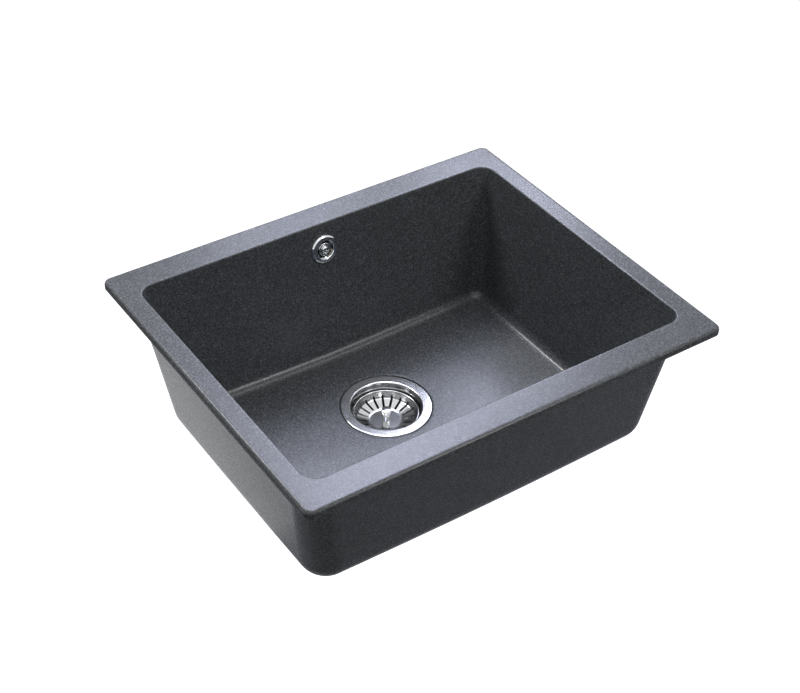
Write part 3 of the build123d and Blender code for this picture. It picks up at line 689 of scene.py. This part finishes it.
class SINK_OT_bowl(bpy.types.Operator):
    """Quartz bowl: one closed surface over rim, walls, floor, drain hole and overflow hole"""

    bl_idname = "sink.bowl"
    bl_label = "Bowl"

    def execute(self, context):
        size = sizes()
        form = BowlForm(size)
        wall, inner, outer = size["wall"], size["inner_corner"], size["outer_corner"]
        # Rim, from the opening's edge over the outer edge to the root of the walls
        mouth = form.shoulder(0.0, size["edge_round"], 0.0, inner)
        quarter = np.linspace(0, math.pi / 2, 7)[:, None]
        round_top, round_low = size["rim_top_round"], size["rim_bottom_round"]
        crown = form.rim(round_top * (1 - np.sin(quarter)), form.top - round_top * (1 - np.cos(quarter)))
        hem = form.rim(round_low * (1 - np.cos(quarter)), round_low * (1 - np.sin(quarter)))
        root = form.shoulder(form.top, size["root"], wall, outer)
        deck = between(mouth[0], crown[0], [0.04, 0.5, 0.96])
        side = between(crown[-1], hem[0], [0.1, 0.9])
        under = between(hem[-1], root[0], [0.06, 0.9])
        # Outside of the bowl, down to the boss round the drain
        outer_drop, outer_foot = form.foot(-size["floor_thickness"], size["outer_foot"], wall, outer)
        drop = size["overflow_drop"]
        outer_drops = [drop + step for step in (*OUTER_WINDOW_ROWS, BELOW_OUTER_WINDOW)]
        outside = np.stack([form.wall(row, wall, outer) for row in (*outer_drops, OUTER_LOWER_ROW)])
        outer_last = form.wall(outer_drop - ABOVE_OUTER_FOOT, wall, outer)[None]
        ground = form.floor_rows(outer_foot[-1], -size["floor_thickness"], BOSS_RADIUS, FLOOR_SHARES)
        boss_edge = [(BOSS_RADIUS, DRAIN_EDGE - BOSS_DEPTH), (BOSS_RADIUS - DRAIN_EDGE, -BOSS_DEPTH)]
        hole_edge = DRAIN_HOLE_RADIUS + DRAIN_EDGE
        boss_hole = [(hole_edge, -BOSS_DEPTH), (DRAIN_HOLE_RADIUS, DRAIN_EDGE - BOSS_DEPTH)]
        boss = form.rings(ground[-1], boss_edge + boss_hole)
        # Inside of the bowl, from the drain up to the opening
        inner_drop, inner_foot = form.foot(0.0, size["inner_foot"], 0.0, inner)
        basin = form.floor_rows(inner_foot[-1], 0.0, RECESS_RADIUS + RECESS_LIP, FLOOR_SHARES)
        recess = form.rings(
            basin[-1],
            [
                (RECESS_RADIUS + RECESS_EDGE_OUT, -RECESS_EDGE_DROP),
                (RECESS_RADIUS, -DRAIN_EDGE),
                (RECESS_RADIUS, -RECESS_DEPTH),
                (hole_edge, -RECESS_DEPTH),
                (DRAIN_HOLE_RADIUS, -RECESS_DEPTH - DRAIN_EDGE),
            ],
        )
        inner_drops = [INNER_TOP_ROW, *(drop + step for step in INNER_WINDOW_ROWS), *INNER_LOWER_ROWS]
        inside = np.stack([form.wall(row, 0.0, inner) for row in inner_drops])
        inner_last = form.wall(inner_drop - ABOVE_INNER_FOOT, 0.0, inner)[None]
        rim = np.concatenate([mouth[:1], deck, crown, side, hem, under, root])
        down = np.concatenate([outside, outer_last, outer_foot, ground, boss])
        up = np.concatenate([mouth[1:], inside, inner_last, inner_foot, basin, recess])[::-1]
        rows = np.concatenate([rim, down, up])
        count, columns = rows.shape[:2]
        numbers = np.arange(count * columns).reshape(count, columns)
        quads = grid_quads(count, columns, close_rows=True)
        keep = np.ones(quads.shape[:2], bool)
        # Overflow hole: a window in both walls, closed by a flat ring round the hole, and a tube between
        first, last = form.window_start, form.window_start + form.WINDOW_COLUMNS
        inner_start, outer_start = count - len(mouth) - 1, len(rim)
        inner_rows = inner_start - np.arange(len(INNER_WINDOW_ROWS))
        outer_rows = outer_start + np.arange(len(OUTER_WINDOW_ROWS))
        middle, (along, upward, normal) = overflow_place(form)
        flat = rows.reshape(-1, 3)
        extra, circles, faces = [], [], []
        start = len(flat)
        for row_numbers, depth in ((inner_rows, 0.0), (outer_rows, wall)):
            keep[np.ix_(np.sort(row_numbers)[:-1], np.arange(first, last))] = False
            border = window_edge(numbers[np.ix_(row_numbers, np.arange(first, last + 1))])
            centre = middle - normal * depth / math.hypot(1.0, BACK_DRAFT)
            offset = flat[border] - centre
            turn = np.arctan2(offset @ upward, offset[:, 0])
            spoke = np.cos(turn)[:, None] * along + np.sin(turn)[:, None] * upward
            ring = centre + OVERFLOW_HOLE_RADIUS * spoke
            circle = start + np.arange(len(ring))
            start += len(ring)
            extra.append(ring)
            circles.append(circle)
            faces.append(np.stack([border, np.roll(border, -1), np.roll(circle, -1), circle], axis=-1))
        near, far = circles
        tube = np.stack([near, np.roll(near, -1), np.roll(far, -1), far], axis=-1)
        bowl = (np.concatenate([flat, *extra]), np.concatenate([quads[keep], *faces, tube]))
        piece("quartz_bowl", [bowl], "quartz", "sink", "bowl")
        return {"FINISHED"}


# Strainer cup: the sheet's corners as radius, height over the floor and rounding, from the flange inwards
CUP_CORNERS = [
    (57.0, -2.0),  # flange edge, lower end
    (57.0, -0.1, 1.4),  # flange edge
    (43.7, -0.6, 2.2),  # throat
    (42.6, -13.2, 1.2),  # ledge, outside
    (39.6, -14.0, 1.5),  # ledge, inside
    (38.8, -40.0, 4.0),  # foot of the wall
    (23.6, -40.0, 1.6),  # seat of the stopper, inside
    (11.0, -46.0, 1.2),  # hub
    (4.0, -46.0),  # hole for the clamp screw
]
CUP_SHEET = 1.2
CUP_WINDOW_RADII = (22.2, 12.8)
CUP_WINDOW_ROUND = 1.2
# A window takes at least and at most these shares of its sector, to either side
CUP_WINDOW_SHARES = (0.3, 0.47)


class SINK_OT_cup(bpy.types.Operator):
    """Strainer cup: flange with a turned-down edge, rounded throat, ledge, seat and a hub with windows"""

    bl_idname = "sink.cup"
    bl_label = "Strainer cup"

    def execute(self, context):
        size = sizes()
        step = 2 * math.pi / size["windows"]

        def half_window(radius):
            """Half a sector less half a spoke."""
            spoke = np.arcsin(np.minimum(size["spoke_width"] / 2 / radius, 1.0))
            return np.clip(step / 2 - spoke, *(share * step for share in CUP_WINDOW_SHARES))

        def cut(line, along):
            """Where the line is at the windows' two radii."""
            return [np.interp(-radius, -line[:, 0], along) for radius in CUP_WINDOW_RADII]

        cup = pressed(
            drain_place(BowlForm(size)),
            CUP_CORNERS,
            CUP_SHEET,
            size["windows"],
            half_window,
            cut,
            CUP_WINDOW_ROUND,
            first=math.pi / 2 + step / 2,
            gap=20,
            land=8,
        )
        piece("strainer_cup_pressed", [cup], "steel", "sink", "strainer_cup")
        return {"FINISHED"}


# Basket: the sheet's corners as radius, height over the floor and rounding, from the rim inwards
BASKET_CORNERS = [
    (38.9, -11.0),  # rim
    (36.4, -19.8, 3.0),  # band below the rim
    (21.0, -24.5, 1.5),  # edge of the flat floor
    (3.0, -24.5),  # hole for the stem
]
BASKET_SHEET = 1.0
SLOT_TOP, SLOT_FOOT_RADIUS = -15.6, 22.4
# A slot takes at least and at most these shares of its sector, to either side
SLOT_SHARES = (0.08, 0.3)
# Rolled rim: middle of its round section, and the section's radius
ROLL_PLACE, ROLL_RADIUS = (39.9, -11.0), 1.1
# Knob: corners as for the sheets, from the end of its blind hole over the outside to the top
KNOB_CORNERS = [
    (0.0, -9.8),  # end of the hole for the stem
    (3.0, -9.8),  # side of the hole
    (3.0, -22.6),  # mouth of the hole
    (5.0, -22.6, 0.5),  # foot
    (4.1, -14.5, 12.4),  # waist
    (6.2, -8.6, 0.8),  # head, underside
    (6.2, -6.6, 0.8),  # head, upper edge
    (3.0, -6.25),  # crown
    (0.0, -6.2),  # middle of the crown
]


class SINK_OT_basket(bpy.types.Operator):
    """Basket: slotted pressed sheet with a rolled rim, and a turned knob"""

    bl_idname = "sink.basket"
    bl_label = "Basket"

    def execute(self, context):
        size = sizes()
        place = drain_place(BowlForm(size))
        half_width = size["slot_width"] / 2
        step = 2 * math.pi / size["slots"]

        def half_slot(radius):
            """The angle that half a slot's width takes at a radius."""
            angle = np.arcsin(np.minimum(half_width / radius, 1.0))
            return np.clip(angle, *(share * step for share in SLOT_SHARES))

        def cut(line, along):
            """Where the line is at the slots' upper height and at their inner radius."""
            top = np.interp(-SLOT_TOP, -line[:, 1], along)
            return top, np.interp(-SLOT_FOOT_RADIUS, -line[:, 0], along)

        sheet = pressed(
            place,
            BASKET_CORNERS,
            BASKET_SHEET,
            size["slots"],
            half_slot,
            cut,
            half_width,
            first=step / 2,
            gap=6,
            land=6,
        )
        swing = np.linspace(0, 2 * math.pi, 20, endpoint=False)
        section = ROLL_PLACE + ROLL_RADIUS * np.stack([np.cos(swing), np.sin(swing)], axis=1)
        roll = turned(place, section, 160)
        piece("basket_pressed", [sheet, roll], "steel", "basket", "basket_shell")
        knob = turned(place, rounded(KNOB_CORNERS), 64)
        piece("knob_turned", [knob], "steel", "basket", "basket_knob")
        return {"FINISHED"}


# Outlet: radii, and heights over the floor; the collar's corners run from the joint down to the thread
OUTLET_BORE, OUTLET_CREST = 20.0, 23.9
OUTLET_JOINT, THREAD_TOP, OUTLET_END = -72.5, -86.0, -102.0
OUTLET_COLLAR = [(26.5, OUTLET_JOINT), (26.5, -83.2), (26.1, -84.0), (24.6, -85.6)]
OUTLET_CHAMFER = 0.8
# The thread's V is cut flat at the crests and the roots
THREAD_GAIN, THREAD_CREST = 1.25, 0.12

# Overflow pipe: it runs down behind the back edge of the opening, and forward below the floor
PIPE_RADIUS, PIPE_BORE, PIPE_BEND = 10.0, 8.0, 40.0
PIPE_BEHIND_OPENING, PIPE_BELOW_FLOOR, PIPE_TOP = 16.8, 35.0, -51.0
PIPE_END_BEHIND_DRAIN = 57.0

# Pipe nuts: radii, heights over the nut's own middle, and the places of the two nuts on the pipe
NUT_RADIUS, NUT_MOUTH, NUT_HOLE = 15.4, 13.0, 10.2
NUT_LOW, NUT_SEAT, NUT_HIGH = -11.0, 4.2, 8.0
NUT_EDGE_ROUND, NUT_TOP_ROUND = 0.4, 2.0
RIDGE_LOW, RIDGE_HIGH, RIDGE_FADE, RIDGE_MARGIN = -10.4, 5.4, 0.8, 0.1
# A ridge is a cosine wave, steepened, lowered and cut flat
RIDGE_GAIN, RIDGE_CUT = 1.6, 0.5
UPPER_NUT_HEIGHT, LOWER_NUT_BEHIND_DRAIN = -66.0, 72.0


class SINK_OT_plumbing(bpy.types.Operator):
    """Plumbing under the sink: threaded outlet, bent overflow pipe and its two ridged nuts"""

    bl_idname = "sink.plumbing"
    bl_label = "Plumbing"

    def execute(self, context):
        size = sizes()
        form = BowlForm(size)
        self.outlet(size, drain_place(form))
        back = form.half_y + PIPE_BEHIND_OPENING
        low = form.floor - PIPE_BELOW_FLOOR
        self.pipe(back, low, form.drain + PIPE_END_BEHIND_DRAIN)
        along, backward, up = np.eye(3)
        upper = (np.array([0.0, back, UPPER_NUT_HEIGHT]), np.array([along, -backward, -up]))
        lower_middle = np.array([0.0, form.drain + LOWER_NUT_BEHIND_DRAIN, low])
        lower = (lower_middle, np.array([along, -up, backward]))
        self.nut(size, upper, "upper_nut_ridged", "upper_pipe_nut")
        self.nut(size, lower, "lower_nut_ridged", "lower_pipe_nut")
        return {"FINISHED"}

    def outlet(self, size, place):
        """The outlet's radius at a height and angle is the crest less the depth of a V that climbs one pitch
        in each turn, and that fades out over a pitch at both ends."""
        pitch, depth, columns = size["thread_pitch"], size["thread_depth"], 120
        heights = np.linspace(THREAD_TOP, OUTLET_END, 97)
        line = np.concatenate(
            [
                [(OUTLET_BORE, OUTLET_JOINT), *OUTLET_COLLAR],
                np.stack([np.full_like(heights, OUTLET_CREST), heights], axis=1),
                [(OUTLET_BORE + OUTLET_CHAMFER, OUTLET_END), (OUTLET_BORE, OUTLET_END + OUTLET_CHAMFER)],
            ]
        )
        angle = np.linspace(0, 2 * math.pi, columns, endpoint=False)
        height = line[:, 1, None]
        wave = np.abs(2 * ((height / pitch + angle / (2 * math.pi)) % 1.0) - 1.0)
        fade = np.clip(np.minimum(THREAD_TOP - height, height - OUTLET_END) / pitch, 0.0, 1.0)
        groove = depth * fade * np.clip(THREAD_GAIN * wave - THREAD_CREST, 0.0, 1.0)
        threaded = np.isclose(line[:, 0], OUTLET_CREST)[:, None]
        outlet = turned(place, line, columns, np.where(threaded, -groove, 0.0))
        piece("outlet_threaded", [outlet], "white_plastic", "sink", "outlet_tail")

    def pipe(self, back, low, front):
        """A ring carried along a path: straight down, a quarter circle, then straight forward. A point is the
        path's point, plus the radius times cos a sideways and sin a across the path."""
        columns, down, forward = 48, 8, 7
        swing = np.linspace(0, math.pi / 2, 25)
        bend_y, bend_z = back - PIPE_BEND, low + PIPE_BEND
        path_y = np.concatenate(
            [
                np.full(down, back),
                bend_y + PIPE_BEND * np.cos(swing),
                np.linspace(bend_y, front, forward + 1)[1:],
            ]
        )[:, None]
        path_z = np.concatenate(
            [
                np.linspace(PIPE_TOP, bend_z, down + 1)[:-1],
                bend_z - PIPE_BEND * np.sin(swing),
                np.full(forward, low),
            ]
        )[:, None]
        lean = np.concatenate([np.zeros(down), swing, np.full(forward, math.pi / 2)])[:, None]
        angle = np.linspace(0, 2 * math.pi, columns, endpoint=False)
        rings = []
        for radius in (PIPE_RADIUS, PIPE_BORE):
            across = radius * np.sin(angle)
            y, z = path_y + across * np.cos(lean), path_z - across * np.sin(lean)
            rings.append(np.stack(np.broadcast_arrays(radius * np.cos(angle), y, z), axis=-1))
        points = np.concatenate([rings[0], rings[1][::-1]])
        quads = grid_quads(len(points), columns, close_rows=True).reshape(-1, 4)
        piece("overflow_pipe_bent", [(points, quads)], "white_plastic", "sink", "overflow_pipe")

    def nut(self, size, place, name, node):
        """A pipe nut: its radius swells at the ridges, as a cosine cut flat, and is plain at the top."""
        columns = 160
        heights = np.linspace(RIDGE_LOW, RIDGE_HIGH, 17)
        skirt = rounded(
            [
                (NUT_MOUTH, NUT_SEAT),
                (NUT_MOUTH, NUT_LOW),
                (NUT_RADIUS, NUT_LOW, NUT_EDGE_ROUND),
                (NUT_RADIUS, RIDGE_LOW - RIDGE_MARGIN),
            ]
        )
        side = np.stack([np.full_like(heights, NUT_RADIUS), heights], axis=1)
        crown = rounded(
            [
                (NUT_RADIUS, RIDGE_HIGH + RIDGE_MARGIN),
                (NUT_RADIUS, NUT_HIGH, NUT_TOP_ROUND),
                (NUT_HOLE, NUT_HIGH),
                (NUT_HOLE, NUT_SEAT),
            ]
        )
        angle = np.linspace(0, 2 * math.pi, columns, endpoint=False)
        ridge = np.clip(RIDGE_GAIN * np.cos(size["ridges"] * angle) - RIDGE_CUT, 0.0, 1.0)
        fade = np.clip(np.minimum(heights - RIDGE_LOW, RIDGE_HIGH - heights) / RIDGE_FADE, 0.0, 1.0)
        reach = np.concatenate([np.zeros(len(skirt)), fade, np.zeros(len(crown))])[:, None]
        line = np.concatenate([skirt, side, crown])
        nut = turned(place, line, columns, size["ridge_height"] * reach * ridge)
        piece(name, [nut], "white_plastic", "sink", node)


class SINK_OT_fittings(bpy.types.Operator):
    """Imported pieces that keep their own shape: each gets the material of its slot"""

    bl_idname = "sink.fittings"
    bl_label = "Fittings"

    def execute(self, context):
        for row in frame["record"]["subparts"]:
            node = frame["nodes"][row["node"]]
            node.data.materials.clear()
            node.data.materials.append(finish_of(row["material_slot"]))
        return {"FINISHED"}


# Camera matched to the photograph: turn, height and tilt in degrees, lengths in millimetres
CAMERA_TURN, CAMERA_HEIGHT, CAMERA_TILT = -35.20, 39.19, 1.70
CAMERA_DISTANCE = 1730.84
CAMERA_TARGET = (-52.36, -59.62, 9.5)
CAMERA_LENS, SENSOR_WIDTH = 70.61, 36.0
CAMERA_NEAR, CAMERA_FAR = 50.0, 50000.0

# Stage floor: how far it lies below the worktop, and half its side, in millimetres
STAGE_DROP, STAGE_HALF = 900.0, 20000.0
STAGE_PAINT = "BCBCBC"

# Strengths of the floor's glow and of the surround: seen straight, mirrored, and as light on the sink
FLOOR_GLOW = (0.94, 0.0, 0.0)
SURROUND_GLOW = (1.0, 1.0, 0.065)

# Light of the lamps: the three strips at the back are daylight tubes, the rest is plain white
DAYLIGHT, WHITE = (0.88, 0.92, 1.18), (1.0, 1.0, 1.0)

# Lamps: name, light, turn and height in degrees as seen from the sink, then distance, width and length in
# millimetres, and watts
LAMPS = [
    ("back_strip_low", DAYLIGHT, 137.0, 36.5, 1700.0, 350.0, 600.0, 6.2),
    ("back_strip_high", DAYLIGHT, 146.0, 54.0, 1700.0, 350.0, 600.0, 6.2),
    ("back_strip_long", DAYLIGHT, 155.0, 44.0, 1700.0, 350.0, 1000.0, 5.5),
    ("left_back_strip", WHITE, -165.0, 52.0, 1700.0, 200.0, 400.0, 11.0),
    ("right_strip", WHITE, 90.0, 65.0, 1700.0, 250.0, 500.0, 1.6),
    ("front_softbox", WHITE, 27.0, 33.0, 1700.0, 320.0, 550.0, 5.5),
    ("overhead_softbox", WHITE, -35.0, 80.0, 1700.0, 900.0, 900.0, 4.6),
    ("left_softbox", WHITE, -100.0, 0.0, 1200.0, 600.0, 500.0, 1.3),
    ("low_back_softbox", WHITE, -166.0, -48.0, 1000.0, 500.0, 400.0, 0.58),
    ("back_fill_softbox", WHITE, 150.0, -12.0, 1500.0, 700.0, 500.0, 5.0),
]


def outward(turn, height):
    """Unit direction from the sink: turn 0 is the front, 90 the right, and height is over the horizon."""
    around, rise = math.radians(turn), math.radians(height)
    level = math.cos(rise)
    return np.array([math.sin(around) * level, -math.cos(around) * level, math.sin(rise)])


def facing(turn, height, tilt=0.0):
    """Right, up and back of a camera or lamp that looks from that direction, turned by tilt."""
    back = outward(turn, height)
    around, roll = math.radians(turn), math.radians(tilt)
    right = np.array([math.cos(around), math.sin(around), 0.0])
    up = np.cross(back, right)
    rolled_right = right * math.cos(roll) + up * math.sin(roll)
    rolled_up = up * math.cos(roll) - right * math.sin(roll)
    return rolled_right, rolled_up, back


def placed(obj, axes, spot):
    """Sets an object's place from its axes and a spot in millimetres."""
    turn = Matrix(np.stack(axes, axis=1).tolist()).to_4x4()
    obj.matrix_world = Matrix.Translation((np.asarray(spot) * MM).tolist()) @ turn
    bpy.context.scene.collection.objects.link(obj)


class SINK_OT_stage(bpy.types.Operator):
    """Stage: pale floor, white surround, soft lamps and the camera"""

    bl_idname = "sink.stage"
    bl_label = "Stage"

    def execute(self, context):
        scene = context.scene
        scene.view_settings.view_transform = "Standard"
        self.floor()
        self.surround(scene)
        for name, light, turn, height, distance, width, depth, watts in LAMPS:
            lamp = bpy.data.lights.new(name, "AREA")
            lamp.shape = "RECTANGLE"
            lamp.size, lamp.size_y = width * MM, depth * MM
            lamp.energy, lamp.color = watts, light
            holder = bpy.data.objects.new(name, lamp)
            holder.visible_camera = False
            placed(holder, facing(turn, height), outward(turn, height) * distance)
        lens = bpy.data.cameras.new("camera")
        lens.sensor_fit, lens.sensor_width, lens.lens = "HORIZONTAL", SENSOR_WIDTH, CAMERA_LENS
        lens.clip_start, lens.clip_end = CAMERA_NEAR * MM, CAMERA_FAR * MM
        axes = facing(CAMERA_TURN, CAMERA_HEIGHT, CAMERA_TILT)
        camera = bpy.data.objects.new("camera", lens)
        placed(camera, axes, np.array(CAMERA_TARGET) + axes[2] * CAMERA_DISTANCE)
        scene.camera = camera
        return {"FINISHED"}

    def floor(self):
        """A pale floor well below the sink. Seen straight it glows to white and keeps the shadow. The sink's
        walls mirror its paint alone, because a white floor would wash out their dark sides."""
        made, tree = material("painted_floor")
        paint = add(tree, "ShaderNodeBsdfDiffuse", {"Color": (*linear(STAGE_PAINT), 1.0)})
        strength = self.seen(tree, *FLOOR_GLOW)
        glow = add(tree, "ShaderNodeEmission", {"Color": (*WHITE, 1.0), "Strength": strength})
        both = add(tree, "ShaderNodeAddShader", {0: paint.outputs["BSDF"], 1: glow.outputs["Emission"]})
        add(tree, "ShaderNodeOutputMaterial", {"Surface": both.outputs["Shader"]})
        half, low = STAGE_HALF * MM, -STAGE_DROP * MM
        mesh = bpy.data.meshes.new("stage_floor")
        corners = [(-half, -half, low), (half, -half, low), (half, half, low), (-half, half, low)]
        mesh.from_pydata(corners, [], [(0, 1, 2, 3)])
        mesh.materials.append(made)
        plane = bpy.data.objects.new("stage_floor", mesh)
        bpy.context.scene.collection.objects.link(plane)

    def seen(self, tree, straight, mirrored, other):
        """A strength that differs where the camera sees it straight or through glass, in mirrors, and by
        other rays, which light the sink."""
        path = add(tree, "ShaderNodeLightPath").outputs
        direct = add(
            tree,
            "ShaderNodeMath",
            {0: path["Is Camera Ray"], 1: path["Is Transmission Ray"]},
            operation="MAXIMUM",
        )
        gloss = add(
            tree,
            "ShaderNodeMath",
            {0: path["Is Glossy Ray"], 1: mirrored - other, 2: other},
            operation="MULTIPLY_ADD",
        )
        level = add(
            tree,
            "ShaderNodeMath",
            {0: direct.outputs["Value"], 1: straight - other, 2: gloss.outputs["Value"]},
            operation="MULTIPLY_ADD",
        )
        return level.outputs["Value"]

    def surround(self, scene):
        """A dim even surround that is white where it is seen straight or mirrored."""
        world = bpy.data.worlds.new("studio")
        scene.world = world
        world.use_nodes = True
        tree = world.node_tree
        tree.nodes.clear()
        strength = self.seen(tree, *SURROUND_GLOW)
        sky = add(tree, "ShaderNodeBackground", {"Color": (*WHITE, 1.0), "Strength": strength})
        add(tree, "ShaderNodeOutputWorld", {"Surface": sky.outputs["Background"]})


STEPS = [SINK_OT_fittings, SINK_OT_bowl, SINK_OT_cup, SINK_OT_basket, SINK_OT_plumbing, SINK_OT_stage]


class SINK_PT_panel(bpy.types.Panel):
    """Lists the sink's steps and sizes"""

    bl_label = "Kitchen sink"
    bl_idname = "SINK_PT_panel"
    bl_space_type = "VIEW_3D"
    bl_region_type = "UI"
    bl_category = "Sink"

    def draw(self, context):
        for step in STEPS:
            self.layout.operator(step.bl_idname)
        for group in (context.scene.sink_sizes, context.scene.sink_finish):
            for name in type(group).__annotations__:
                self.layout.prop(group, name)


CLASSES = [SinkSizes, SinkFinish, *STEPS, SINK_PT_panel]


def register():
    """Adds the classes, and the sizes and colours to the scene."""
    for item in CLASSES:
        bpy.utils.register_class(item)
    bpy.types.Scene.sink_sizes = PointerProperty(type=SinkSizes)
    bpy.types.Scene.sink_finish = PointerProperty(type=SinkFinish)


def unregister():
    """Takes away what register adds."""
    del bpy.types.Scene.sink_finish
    del bpy.types.Scene.sink_sizes
    for item in reversed(CLASSES):
        bpy.utils.unregister_class(item)


def main():
    """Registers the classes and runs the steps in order."""
    register()
    for step in STEPS:
        group, name = step.bl_idname.split(".")
        getattr(getattr(bpy.ops, group), name)()


if __name__ == "__main__":
    main()
